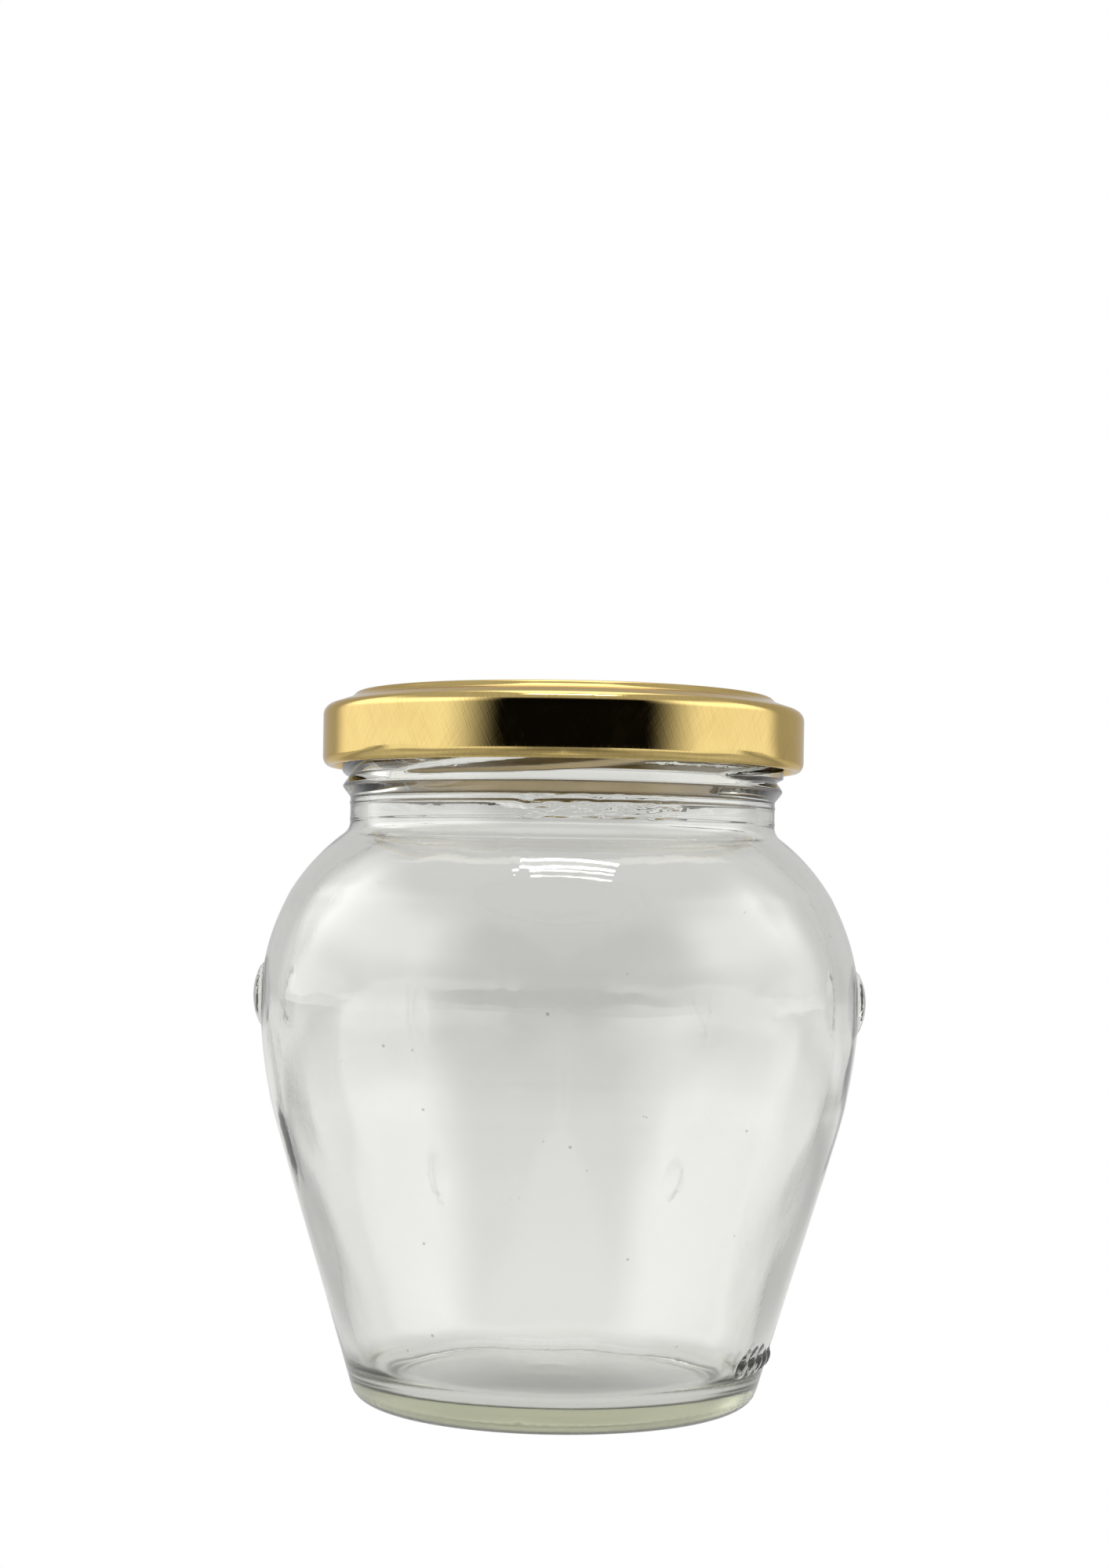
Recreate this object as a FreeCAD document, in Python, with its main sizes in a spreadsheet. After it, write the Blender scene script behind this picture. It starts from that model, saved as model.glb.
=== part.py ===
import FreeCAD, Part
import math
import os

import Sketcher

# A small urn-shaped glass jar with a 63 mm twist-off lug cap, closed.
# The origin is at the centre of the base, +Z points up and +Y points away from the front.

# Driving dimensions in millimetres and degrees.
SIZES = {
    "bellyRadius": 41.3,      # widest outside radius
    "bellyHeight": 55.5,      # height of the widest line
    "lowerCurve": 62.0,       # radius of the arc below the widest line
    "upperCurve": 28.0,       # radius of the shoulder arc
    "taper": 16.7,            # lean of the straight lower wall from upright
    "heelCurve": 2.4,         # rounding between the wall and the foot
    "footInside": 24.3,       # inner edge of the ring that the jar stands on
    "pushUp": 1.4,            # hollow under the base, at the edge
    "pushUpCentre": 2.0,      # hollow under the base, at the centre
    "floorEdge": 3.9,         # height of the floor inside, at the edge
    "floorCentre": 4.8,       # height of the floor inside, at the centre
    "floorCurve": 4.5,        # rounding between the floor and the wall
    "wall": 2.4,              # glass thickness
    "neckRadius": 29.3,       # outside of the neck, under the bead
    "neckCurve": 2.0,         # hollow rounding between the shoulder and the neck
    "beadFoot": 83.0,
    "beadTop": 85.8,
    "beadCurve": 1.6,
    "finishRadius": 29.65,    # outside of the neck, between the threads
    "rimHeight": 96.4,
    "rimOuterCurve": 1.2,
    "rimInnerCurve": 0.9,
    "nubCentre": 40.7,        # side knobs: flat ellipsoids sunk in the wall
    "nubHeight": 55.6,
    "nubDepth": 1.8,
    "nubWidth": 5.7,
    "nubTall": 5.0,
    "threadCount": 4,
    "threadLead": 16.0,       # rise of one start in a whole turn
    "threadSpan": 112.0,
    "threadStart": -132.0,    # direction of one low end, from +X
    "threadLow": 84.8,        # underside of the thread at its low end
    "threadBand": 1.5,
    "threadCrest": 30.7,
    "threadBevel": 0.3,
    "threadRoot": 29.05,      # sunk in the neck, so that the thread is one with it
    "skirtRadius": 33.2,      # outside of the lid
    "sheet": 0.2,             # tinplate thickness
    "skirtTop": 94.1,
    "cornerRadius": 31.9,
    "cornerHeight": 95.65,
    "cornerCurve": 1.6,
    "ringOuterFoot": 29.3,    # raised stacking ring on the lid
    "ringFootHeight": 96.75,
    "ringOuter": 28.5,
    "ringInner": 26.4,
    "ringTop": 97.3,
    "panelRadius": 25.7,
    "panelHeight": 96.2,
    "buttonRadius": 9.0,
    "buttonRise": 0.3,
    "curlRadius": 0.95,
    "curlBottom": 87.1,
    "lugInner": 29.95,
    "lugOuter": 31.93,        # inside the curl, so that the lug is one with it
    "lugLow": 87.05,
    "lugThick": 0.85,
    "lugSpan": 18.0,
    "lugDirection": -44.0,    # direction of one lug's middle, from +X
    "sealInner": 26.7,
    "sealOuter": 28.9,
    "sealBevel": 0.45,        # the ring's outer top edge stays under the slope of the channel
    "sealGap": 0.05,          # between the ring and both of its neighbours
}
SHEET_NAME = "Jar"
FULL_TURN = 360.0

doc = FreeCAD.newDocument("mason_jar")
sheet = doc.addObject("Spreadsheet::Sheet", SHEET_NAME)
for row, (alias, value) in enumerate(SIZES.items(), start=1):
    sheet.set(f"A{row}", alias)
    sheet.set(f"B{row}", str(value))
    sheet.setAlias(f"B{row}", alias)
doc.recompute()


def cell(alias):
    """The expression for one named cell."""
    return f"{SHEET_NAME}.{alias}"


def number(expression):
    """The value that an expression has now."""
    result = sheet.evalExpression(expression)
    return float(getattr(result, "Value", result))


def new_body(name):
    body = doc.addObject("PartDesign::Body", name)
    body.Label = name
    return body


def origin_feature(body, role):
    return next(item for item in body.Origin.OriginFeatures if item.Role == role)


def upright_sketch(body, name, direction=None):
    """A sketch on the body's upright XZ plane: x is the radius and y is the height.

    A direction turns the sketch about the axis, in degrees from +X.
    """
    sketch = body.newObject("Sketcher::SketchObject", name)
    sketch.AttachmentSupport = (origin_feature(body, "XZ_Plane"), "")
    sketch.MapMode = "FlatFace"
    if direction:
        turn = FreeCAD.Rotation(FreeCAD.Vector(0, 1, 0), 0)
        sketch.AttachmentOffset = FreeCAD.Placement(FreeCAD.Vector(), turn)
        sketch.setExpression(".AttachmentOffset.Rotation.Angle", direction)
    return sketch


def arc_between(start, end, radius, side):
    """The short arc from start to end. Its centre is left of the way there if side is 1."""
    chord = end - start
    middle = (start + end) * 0.5
    reach = math.sqrt(max(radius ** 2 - (chord.Length / 2) ** 2, 0.0))
    left = FreeCAD.Vector(-chord.y, chord.x, 0).normalize()
    centre = middle + left * reach * side
    first = math.atan2(start.y - centre.y, start.x - centre.x)
    last = math.atan2(end.y - centre.y, end.x - centre.x)
    circle = Part.Circle(centre, FreeCAD.Vector(0, 0, 1), radius)
    if side > 0:
        return Part.ArcOfCircle(circle, first, last)
    return Part.ArcOfCircle(circle, last, first)


def draw_outline(sketch, corners):
    """Draws a closed outline.

    Each corner is (radius, height) as expressions, and may add (curve, side) when the
    stretch from it to the next corner is an arc. Every corner and arc stays bound to the sheet.
    """
    points = [FreeCAD.Vector(number(c[0]), number(c[1]), 0) for c in corners]
    begins = []
    ends = []
    for index, corner in enumerate(corners):
        start = points[index]
        end = points[(index + 1) % len(points)]
        if len(corner) == 2:
            sketch.addGeometry(Part.LineSegment(start, end))
            begins.append(1)
            ends.append(2)
            continue
        curve, side = corner[2], corner[3]
        sketch.addGeometry(arc_between(start, end, number(curve), side))
        begins.append(1 if side > 0 else 2)
        ends.append(2 if side > 0 else 1)
    for index, corner in enumerate(corners):
        before = index - 1 if index else len(corners) - 1
        join = Sketcher.Constraint("Coincident", before, ends[before], index, begins[index])
        sketch.addConstraint(join)
        for axis, kind, other in ((0, "DistanceX", -2), (1, "DistanceY", -1)):
            value = points[index][axis]
            if abs(value) < 1e-9:
                hold = Sketcher.Constraint("PointOnObject", index, begins[index], other)
                sketch.addConstraint(hold)
                continue
            pin = Sketcher.Constraint(kind, -1, 1, index, begins[index], value)
            place = sketch.addConstraint(pin)
            sketch.setExpression(f"Constraints[{place}]", corner[axis])
    for index, corner in enumerate(corners):
        if len(corner) == 4:
            size = Sketcher.Constraint("Radius", index, number(corner[2]))
            place = sketch.addConstraint(size)
            sketch.setExpression(f"Constraints[{place}]", corner[2])


def revolve(body, sketch, name, angle=None):
    """Turns an outline about the upright axis: all the way, or through an angle about the sketch."""
    feature = body.newObject("PartDesign::Revolution", name)
    feature.Profile = sketch
    feature.ReferenceAxis = (sketch, ["V_Axis"])
    feature.Angle = FULL_TURN
    if angle:
        feature.Midplane = True
        feature.setExpression("Angle", angle)
    return feature


def repeat_around(body, feature, name, count):
    pattern = body.newObject("PartDesign::PolarPattern", name)
    pattern.Originals = [feature]
    pattern.Axis = (origin_feature(body, "Z_Axis"), [""])
    pattern.Angle = FULL_TURN
    pattern.setExpression("Occurrences", count)
    body.Tip = pattern
    return pattern


def make_glass_jar():
    """The blown glass body: an even wall, offset inwards from the outside arcs and cone."""
    body = new_body("glass_jar")
    belly, height, wall = cell("bellyRadius"), cell("bellyHeight"), cell("wall")
    lower, upper = cell("lowerCurve"), cell("upperCurve")
    lean = f"{cell('taper')} * 1deg"
    neck, neck_curve = cell("neckRadius"), cell("neckCurve")
    heel = cell("heelCurve")
    rim = cell("rimHeight")

    # the straight wall starts where the lower arc has turned by the taper
    lower_centre = f"({belly} - {lower})"
    wall_top = (f"{lower_centre} + {lower} * cos({lean})", f"{height} - {lower} * sin({lean})")
    wall_foot = f"({wall_top[0]} - tan({lean}) * ({wall_top[1]}))"
    heel_centre = f"({wall_foot} + tan({lean}) * {heel} - {heel} / cos({lean}))"
    heel_top = (f"{heel_centre} + {heel} * cos({lean})", f"{heel} - {heel} * sin({lean})")

    # the hollow curve under the neck touches the shoulder arc and the neck
    upper_centre = f"({belly} - {upper})"
    hollow_run = f"({neck} + {neck_curve} - {upper_centre})"
    hollow_rise = f"sqrt(({upper} + {neck_curve}) ^ 2 - {hollow_run} ^ 2)"
    share = f"({upper} / ({upper} + {neck_curve}))"
    inner_share = f"(({upper} - {wall}) / ({upper} + {neck_curve}))"
    shoulder_top = (f"{upper_centre} + {hollow_run} * {share}", f"{height} + {hollow_rise} * {share}")
    neck_foot = (neck, f"{height} + {hollow_rise}")

    inner_neck = f"({neck} - {wall})"
    inner_lower = f"({lower} - {wall})"
    inner_wall_top = (
        f"{lower_centre} + {inner_lower} * cos({lean})",
        f"{height} - {inner_lower} * sin({lean})",
    )
    inner_foot = f"({wall_foot} - {wall} / cos({lean}))"
    floor, floor_curve = cell("floorEdge"), cell("floorCurve")
    corner_centre = (
        f"({inner_foot} + tan({lean}) * ({floor} + {floor_curve}) - {floor_curve} / cos({lean}))"
    )
    inner_heel = (
        f"{corner_centre} + {floor_curve} * cos({lean})",
        f"{floor} + {floor_curve} - {floor_curve} * sin({lean})",
    )
    corners = [
        (heel_centre, "0", heel, 1),
        heel_top,
        (*wall_top, lower, 1),
        (belly, height, upper, 1),
        (*shoulder_top, neck_curve, -1),
        neck_foot,
        (neck, cell("beadFoot"), cell("beadCurve"), 1),
        (cell("finishRadius"), cell("beadTop")),
        (cell("finishRadius"), f"{rim} - {cell('rimOuterCurve')}", cell("rimOuterCurve"), 1),
        (f"{cell('finishRadius')} - {cell('rimOuterCurve')}", rim),
        (f"{inner_neck} + {cell('rimInnerCurve')}", rim, cell("rimInnerCurve"), 1),
        (inner_neck, f"{rim} - {cell('rimInnerCurve')}"),
        (inner_neck, neck_foot[1], f"{neck_curve} + {wall}", 1),
        (
            f"{upper_centre} + {hollow_run} * {inner_share}",
            f"{height} + {hollow_rise} * {inner_share}",
            f"{upper} - {wall}",
            -1,
        ),
        (f"{belly} - {wall}", height, inner_lower, -1),
        inner_wall_top,
        (*inner_heel, floor_curve, -1),
        (corner_centre, floor),
        ("0", cell("floorCentre")),
        ("0", cell("pushUpCentre")),
        (f"{cell('footInside')} - {cell('pushUp')}", cell("pushUp")),
        (cell("footInside"), "0"),
    ]
    outline = upright_sketch(body, "jar_outline")
    draw_outline(outline, corners)
    revolve(body, outline, "jar_wall")
    doc.recompute()

    nub = body.newObject("PartDesign::AdditiveEllipsoid", "side_nub")
    nub.AttachmentSupport = (origin_feature(body, "XY_Plane"), "")
    nub.MapMode = "FlatFace"
    nub.setExpression(".AttachmentOffset.Base.x", cell("nubCentre"))
    nub.setExpression(".AttachmentOffset.Base.z", cell("nubHeight"))
    nub.setExpression("Radius1", cell("nubTall"))
    nub.setExpression("Radius2", cell("nubDepth"))
    nub.setExpression("Radius3", cell("nubWidth"))
    doc.recompute()
    repeat_around(body, nub, "side_nubs", "2")
    doc.recompute()

    section = upright_sketch(body, "thread_section", cell("threadStart"))
    low, band, crest = cell("threadLow"), cell("threadBand"), cell("threadCrest")
    root, bevel = cell("threadRoot"), cell("threadBevel")
    draw_outline(section, [
        (root, low),
        (f"{crest} - {bevel}", low),
        (crest, f"{low} + {bevel}"),
        (crest, f"{low} + {band} - {bevel}"),
        (f"{crest} - {bevel}", f"{low} + {band}"),
        (root, f"{low} + {band}"),
    ])
    doc.recompute()
    thread = body.newObject("PartDesign::AdditiveHelix", "thread_start")
    thread.Profile = section
    thread.ReferenceAxis = (section, ["V_Axis"])
    thread.Mode = "pitch-height-angle"
    thread.setExpression("Pitch", cell("threadLead"))
    thread.setExpression("Height", f"{cell('threadLead')} * {cell('threadSpan')} / {FULL_TURN}")
    thread.LeftHanded = False
    thread.Reversed = False
    doc.recompute()
    repeat_around(body, thread, "threads", cell("threadCount"))
    return body


def make_lid_shell():
    """The pressed tinplate cap: one sheet, from the panel to the curl, with its four lugs."""
    body = new_body("lid_shell")
    sheet_thick, skirt = cell("sheet"), cell("skirtRadius")
    curl, bottom = cell("curlRadius"), cell("curlBottom")
    panel, ring_top = cell("panelHeight"), cell("ringTop")
    button, rise = cell("buttonRadius"), cell("buttonRise")
    corner = cell("cornerCurve")
    curl_centre = (f"({skirt} - {curl})", f"({bottom} + {curl})")
    inner_curl = f"({curl} - {sheet_thick})"
    half = f"{sheet_thick} / 2"
    corners = [
        ("0", f"{panel} + {rise} - {sheet_thick}"),
        (f"{button} - {rise}", f"{panel} + {rise} - {sheet_thick}"),
        (f"{button} + {rise}", f"{panel} - {sheet_thick}"),
        (f"{cell('panelRadius')} + {half}", f"{panel} - {sheet_thick}"),
        (f"{cell('ringInner')} + {half}", f"{ring_top} - {sheet_thick}"),
        (f"{cell('ringOuter')} - {half}", f"{ring_top} - {sheet_thick}"),
        (f"{cell('ringOuterFoot')} - {half}", f"{cell('ringFootHeight')} - {sheet_thick}"),
        (
            f"{cell('cornerRadius')} - {half}",
            f"{cell('cornerHeight')} - {sheet_thick}",
            f"{corner} - {sheet_thick}",
            -1,
        ),
        (f"{skirt} - {sheet_thick}", cell("skirtTop")),
        (f"{skirt} - {sheet_thick}", curl_centre[1], inner_curl, -1),
        (curl_centre[0], f"{curl_centre[1]} - {inner_curl}", inner_curl, -1),
        (f"{curl_centre[0]} - {inner_curl}", curl_centre[1], inner_curl, -1),
        (curl_centre[0], f"{curl_centre[1]} + {inner_curl}"),
        (curl_centre[0], f"{curl_centre[1]} + {curl}", curl, 1),
        (f"{curl_centre[0]} - {curl}", curl_centre[1], curl, 1),
        (curl_centre[0], bottom, curl, 1),
        (skirt, curl_centre[1]),
        (skirt, cell("skirtTop"), corner, 1),
        (cell("cornerRadius"), cell("cornerHeight")),
        (cell("ringOuterFoot"), cell("ringFootHeight")),
        (cell("ringOuter"), ring_top),
        (cell("ringInner"), ring_top),
        (cell("panelRadius"), panel),
        (f"{button} + {rise}", panel),
        (f"{button} - {rise}", f"{panel} + {rise}"),
        ("0", f"{panel} + {rise}"),
    ]
    outline = upright_sketch(body, "lid_outline")
    draw_outline(outline, corners)
    revolve(body, outline, "lid_sheet")
    doc.recompute()

    section = upright_sketch(body, "lug_section", cell("lugDirection"))
    low, top = cell("lugLow"), f"{cell('lugLow')} + {cell('lugThick')}"
    inner, outer = cell("lugInner"), cell("lugOuter")
    draw_outline(section, [(inner, low), (outer, low), (outer, top), (inner, top)])
    doc.recompute()
    lug = revolve(body, section, "lug", cell("lugSpan"))
    doc.recompute()
    repeat_around(body, lug, "lugs", cell("threadCount"))
    return body


def make_sealing_ring():
    """The soft ring cast into the channel of the lid, just above the rim of the jar."""
    body = new_body("sealing_ring")
    gap, thick = cell("sealGap"), cell("sheet")
    top = f"{cell('ringTop')} - {thick} - {gap}"
    low = f"{cell('rimHeight')} + {gap}"
    outline = upright_sketch(body, "ring_section")
    draw_outline(outline, [
        (cell("sealInner"), low),
        (cell("sealOuter"), low),
        (cell("sealOuter"), f"{top} - {cell('sealBevel')}"),
        (f"{cell('ringOuter')} - {thick}", top),
        (cell("sealInner"), top),
    ])
    revolve(body, outline, "ring")
    return body


def check_and_export(bodies):
    doc.recompute()
    for item in doc.Objects:
        if "Invalid" in item.State or "Error" in item.State:
            raise RuntimeError(f"{item.Name} failed: {item.State}")
    os.makedirs("parts", exist_ok=True)
    for body in bodies:
        shape = body.Shape
        if shape.isNull() or not shape.isValid():
            raise RuntimeError(f"{body.Label} has no valid shape")
        box = shape.BoundBox
        print(f"{body.Label}: {len(shape.Solids)} solid, {shape.Volume:.0f} mm3,"
              f" z {box.ZMin:.2f} to {box.ZMax:.2f}, x {box.XMin:.2f} to {box.XMax:.2f}")
        shape.exportStep(f"parts/{body.Label}.step")


check_and_export([make_glass_jar(), make_lid_shell(), make_sealing_ring()])
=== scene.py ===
import math

import bmesh
import bpy
from mathutils import Matrix, Vector, noise


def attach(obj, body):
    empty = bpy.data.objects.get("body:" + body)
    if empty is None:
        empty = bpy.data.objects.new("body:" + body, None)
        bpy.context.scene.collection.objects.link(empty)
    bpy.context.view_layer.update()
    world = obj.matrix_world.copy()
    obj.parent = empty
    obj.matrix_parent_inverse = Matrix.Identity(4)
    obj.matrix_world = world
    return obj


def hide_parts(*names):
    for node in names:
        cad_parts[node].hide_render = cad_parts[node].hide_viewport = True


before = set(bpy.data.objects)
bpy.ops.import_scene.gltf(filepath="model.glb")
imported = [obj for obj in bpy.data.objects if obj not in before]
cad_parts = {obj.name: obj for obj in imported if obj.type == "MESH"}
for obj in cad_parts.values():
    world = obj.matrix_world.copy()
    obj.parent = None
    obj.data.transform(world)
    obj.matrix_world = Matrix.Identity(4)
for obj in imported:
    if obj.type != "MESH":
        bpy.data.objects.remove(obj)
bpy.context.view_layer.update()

mm = 0.001  # the pieces' settings are in millimetres and degrees
fullTurn = 2 * math.pi
front = -math.pi / 2  # the front of the jar, as a direction measured from +X


def linePoints(start, end, steps):
    # from start up to, but not including, end
    return [(start[0] + (end[0] - start[0]) * i / steps, start[1] + (end[1] - start[1]) * i / steps)
            for i in range(steps)]


def pathThrough(points, steps):
    # straight runs from point to point, each with its own number of steps
    made = []
    for start, end, count in zip(points, points[1:], steps):
        made += linePoints(start, end, count)
    return made


def arcPoints(centre, radius, startAngle, endAngle, steps):
    points = []
    for i in range(steps):
        angle = math.radians(startAngle + (endAngle - startAngle) * i / steps)
        points.append((centre[0] + radius * math.cos(angle), centre[1] + radius * math.sin(angle)))
    return points


def turnOutline(outline, columns, closed=False):
    # outline is a list of (radius, height, side) in millimetres; side is kept on every vertex
    bm = bmesh.new()
    side = bm.verts.layers.float.new("side")
    made = []
    for radius, height, which in outline:
        vert = bm.verts.new((radius * mm, 0, height * mm))
        vert[side] = which
        made.append(vert)
    edges = [bm.edges.new(pair) for pair in zip(made, made[1:])]
    if closed:
        edges.append(bm.edges.new((made[-1], made[0])))
    bmesh.ops.spin(bm, geom=made + edges, cent=(0, 0, 0), axis=(0, 0, 1), dvec=(0, 0, 0),
                   angle=fullTurn, steps=columns, use_merge=True, use_duplicate=False)
    bmesh.ops.remove_doubles(bm, verts=bm.verts, dist=2e-6)
    bmesh.ops.recalc_face_normals(bm, faces=bm.faces)
    return bm


def unwrapAround(bm, radius):
    # the map is millimetres around the axis, and millimetres up
    layer = bm.loops.layers.uv.new("around")
    for face in bm.faces:
        middle = face.calc_center_median()
        facing = math.atan2(middle.y, middle.x)
        for loop in face.loops:
            co = loop.vert.co
            turn = math.radians(apart(math.atan2(co.y, co.x), facing)) + facing
            loop[layer].uv = (turn * radius, co.z / mm)


def finishPiece(bm, name, materials):
    mesh = bpy.data.meshes.new(name)
    bm.to_mesh(mesh)
    bm.free()
    mesh.polygons.foreach_set("use_smooth", [True] * len(mesh.polygons))
    for material in materials:
        mesh.materials.append(material)
    piece = bpy.data.objects.new(name, mesh)
    bpy.context.scene.collection.objects.link(piece)
    print(f"{name}: {len(mesh.polygons)} faces")
    return piece


def smoothStep(low, high, value):
    share = min(max((value - low) / (high - low), 0.0), 1.0)
    return share * share * (3 - 2 * share)


def within(zone, value):
    return zone[0] < value < zone[1]


def turnFrom(angle, start):
    # degrees from start, counter-clockwise, between 0 and 360
    return math.degrees(angle - start) % 360


def apart(angle, other):
    # degrees between two directions, from -180 to 180
    return (math.degrees(angle - other) + 180) % 360 - 180


def newMaterial(name):
    material = bpy.data.materials.new(name)
    material.use_nodes = True
    tree = material.node_tree
    return material, tree, tree.nodes["Principled BSDF"]


def addNode(tree, kind, settings=None, inputs=None):
    node = tree.nodes.new(kind)
    for key, value in (settings or {}).items():
        setattr(node, key, value)
    for key, value in (inputs or {}).items():
        if isinstance(value, bpy.types.NodeSocket):
            tree.links.new(value, node.inputs[key])
        else:
            node.inputs[key].default_value = value
    return node


def mapRange(tree, value, low, high, outLow, outHigh, smooth=False):
    kind = "SMOOTHSTEP" if smooth else "LINEAR"
    node = addNode(tree, "ShaderNodeMapRange", {"interpolation_type": kind}, {
        "Value": value, "From Min": low, "From Max": high, "To Min": outLow, "To Max": outHigh})
    return node.outputs["Result"]


def mathNode(tree, operation, first, second=0.0):
    return addNode(tree, "ShaderNodeMath", {"operation": operation}, {0: first, 1: second}).outputs[0]


def blend(tree, factor, first, second):
    return addNode(tree, "ShaderNodeMix", None, {0: factor, 2: first, 3: second}).outputs[0]


def addColour(tree, first, second, factor):
    node = addNode(tree, "ShaderNodeMix", {"data_type": "RGBA"}, {0: factor, 6: first, 7: second})
    return node.outputs[2]


def buildMarksGroup():
    # faint dust and handling marks: a mask and a height that vary over the surface
    tree = bpy.data.node_groups.new("handlingMarks", "ShaderNodeTree")
    sockets = tree.interface
    sockets.new_socket("Scale", in_out="INPUT", socket_type="NodeSocketFloat").default_value = 300.0
    sockets.new_socket("Amount", in_out="INPUT", socket_type="NodeSocketFloat").default_value = 0.5
    sockets.new_socket("Mask", in_out="OUTPUT", socket_type="NodeSocketFloat")
    sockets.new_socket("Height", in_out="OUTPUT", socket_type="NodeSocketFloat")
    given = tree.nodes.new("NodeGroupInput")
    put = tree.nodes.new("NodeGroupOutput")
    place = tree.nodes.new("ShaderNodeTexCoord")
    cloud = addNode(tree, "ShaderNodeTexNoise", None, {
        "Vector": place.outputs["Object"], "Scale": given.outputs["Scale"], "Detail": 6.0,
        "Roughness": 0.6})
    spread = mapRange(tree, cloud.outputs["Fac"], 0.35, 0.72, 0.0, 1.0, smooth=True)
    mask = mathNode(tree, "MULTIPLY", spread, given.outputs["Amount"])
    tree.links.new(mask, put.inputs["Mask"])
    tree.links.new(cloud.outputs["Fac"], put.inputs["Height"])
    return tree


marksGroup = buildMarksGroup()


def addMarks(tree, scale, amount):
    node = tree.nodes.new("ShaderNodeGroup")
    node.node_tree = marksGroup
    node.inputs["Scale"].default_value = scale
    node.inputs["Amount"].default_value = amount
    return node


glass = {
    "columns": 330,
    "wall": 2.4,
    "belly": 41.3, "bellyHeight": 55.5,
    "lowerCurve": 62.0, "upperCurve": 28.0,
    "easeReach": 14, "easeOutside": 40, "easeInside": 8,
    "taper": 16.7, "heelCurve": 3.4, "floorCurve": 4.6,
    "neck": 29.3, "neckCurve": 2.0, "neckStart": 79.5, "neckTop": 82.6,
    "finish": 29.65, "finishStart": 92.6, "rim": 96.4, "rimCurve": 1.2, "rimInside": 0.9,
    "beadRadius": 30.3, "beadHeight": 84.4, "beadHalf": 1.3, "beadRound": 0.12, "beadStop": 85.9,
    "footInside": 24.3, "footSlope": 0.6, "footStep": 0.35,
    "pushUp": 1.4, "pushUpSlope": 3.0, "pushUpCentre": 2.2,
    "floorEdge": 3.8, "floorCentre": 5.2,
    # threads, each in degrees along it and millimetres up
    "threadZone": (82.8, 93.0),
    "threadCount": 4, "threadSpan": 116.0, "threadRise": 16.0 / 360,
    "threadStart": -44.0, "threadTop": 86.15, "threadFoot": 85.3, "threadBand": 1.55, "threadLift": 1.05,
    "threadSag": 0.00027, "threadSagEnd": 45, "threadCatchUp": (30, 72),
    "threadTip": (-3, 7), "threadTail": (2, -14), "threadFlank": (-0.4, 0.18),
    # the two side nubs, and the row of dots near the foot
    "nubZone": (50, 61),
    "nubHeight": 55.6, "nubTall": 4.75, "nubWidth": 5.6, "nubLift": 1.2, "nubFall": 0.7, "nubEdge": 0.35,
    "dotZone": (5, 9.6),
    "dotHeight": 7.3, "dotRadius": 1.2, "dotLift": 0.55, "dotFirst": 57.3, "dotStep": 4.9,
    "dotCount": 5, "dotShadeStrength": 0.5,
    # marks left by the mould
    "seam": -9.0, "seamLift": 0.10, "seamWidth": 0.45, "seamFrom": (28, 2),
    "peelZone": (79.6, 82.6), "peelEnd": 32.0, "peel": 0.07, "peelStretch": 3.4,
    "partingZone": (78, 83), "partings": ((82.1, 0.09), (79.9, 0.05)), "partingHalf": 0.22,
    "partingKink": 0.35, "kinkSpread": 3,
    "ridgeZone": (0.2, 2.2), "ridgeFade": (0.6, 1.4), "ridgeCount": 96, "ridgeLift": 0.07,
    "innerWave": 0.27, "innerCalm": (84, 72), "outerWave": 0.07, "outerWaveScale": 0.09,
    # the glass itself
    "tint": (0.980, 0.981, 0.975, 1.0), "shadeAndSpeckTint": (0.15, 0.17, 0.14, 1.0),
    "depthColour": (0.895, 0.905, 0.80, 1.0), "depthDensity": 60.0,
    "bubbleScale": 115.0, "bubbleSize": (0.032, 0.018), "bubbleDark": 0.7,
    "nubShadeReach": (0.85, 0.25), "nubFrom": (41.2, 41.6),
    "ior": 1.52, "heelRough": 0.16, "heelZone": (4, 11),
    "markScale": 55.0, "markBump": 0.06, "markDepth": 0.6,
}


def eased(outline, height, reach, passes):
    # blends the two belly curves into each other, so no crease shows where they meet
    for _ in range(passes):
        radii = [point[0] for point in outline]
        for index in range(1, len(outline) - 1):
            if abs(outline[index][1] - height) < reach:
                middle = (radii[index - 1] + radii[index + 1]) / 2
                outline[index] = ((radii[index] + middle) / 2, outline[index][1])
    return outline


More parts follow.
